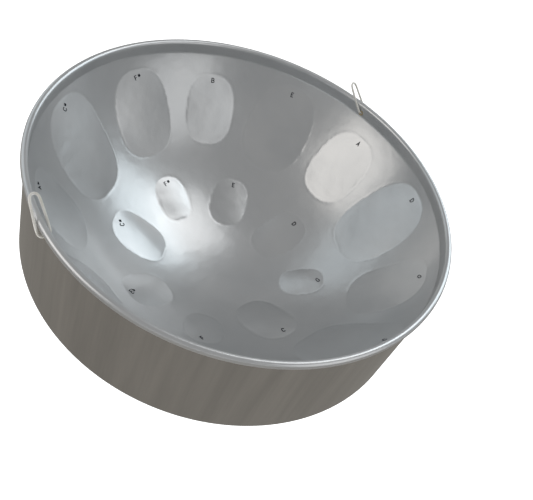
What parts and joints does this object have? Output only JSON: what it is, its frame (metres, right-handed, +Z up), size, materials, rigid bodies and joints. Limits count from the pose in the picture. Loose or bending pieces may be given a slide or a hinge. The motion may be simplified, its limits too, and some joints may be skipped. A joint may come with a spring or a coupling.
{
  "type": "steel pan",
  "caption": "Tenor steel pan: round sunk head with raised oval notes, rolled rim, open-bottomed chromed skirt and two cord hanging loops.",
  "frame": {"origin": "lowest point of the bowl, on the pan's axis", "axes": "+Z up along the pan's axis, out of the playing surface; the player stands towards +X, about 23 degrees round towards -Y"},
  "size_m": [0.58, 0.5807, 0.2386],
  "materials": {
    "head_paint": "satin silver paint",
    "chrome": "polished chrome plate",
    "hoop_steel": "plain drawn rod",
    "eyelet_brass": "plain",
    "cord_white": "braided",
    "letter_ink": "flat"
  },
  "bodies": {
    "pan": {"eyelet_left": "eyelet_brass", "eyelet_right": "eyelet_brass", "letter_a4": "letter_ink", "letter_a_flat4": "letter_ink", "letter_b4": "letter_ink", "letter_b_flat4": "letter_ink", "letter_c4": "letter_ink", "letter_c5": "letter_ink", "letter_c_sharp4": "letter_ink", "letter_c_sharp5": "letter_ink", "letter_d4": "letter_ink", "letter_d5": "letter_ink", "letter_e4": "letter_ink", "letter_e5": "letter_ink", "letter_e_flat4": "letter_ink", "letter_e_flat5": "letter_ink", "letter_f4": "letter_ink", "letter_f5": "letter_ink", "letter_f_sharp4": "letter_ink", "letter_f_sharp5": "letter_ink", "letter_g4": "letter_ink", "letter_g5": "letter_ink", "playing_head": "head_paint", "rim_hoop": "hoop_steel", "skirt": "chrome"},
    "left_loop": {"hang_cord_left": "cord_white"},
    "right_loop": {"hang_cord_right": "cord_white"}
  },
  "joints": [
    {"name": "left_loop_swing", "type": "hinge", "parent": "pan", "child": "left_loop", "pos_m": [-0.14164, -0.24731, 0.2045], "axis": [-0.497, -0.8678, 0], "range_deg": [-103, 7]},
    {"name": "right_loop_swing", "type": "hinge", "parent": "pan", "child": "right_loop", "pos_m": [0.07472, 0.27503, 0.2045], "axis": [0.2622, 0.965, 0], "range_deg": [-7, 103]}
  ]
}
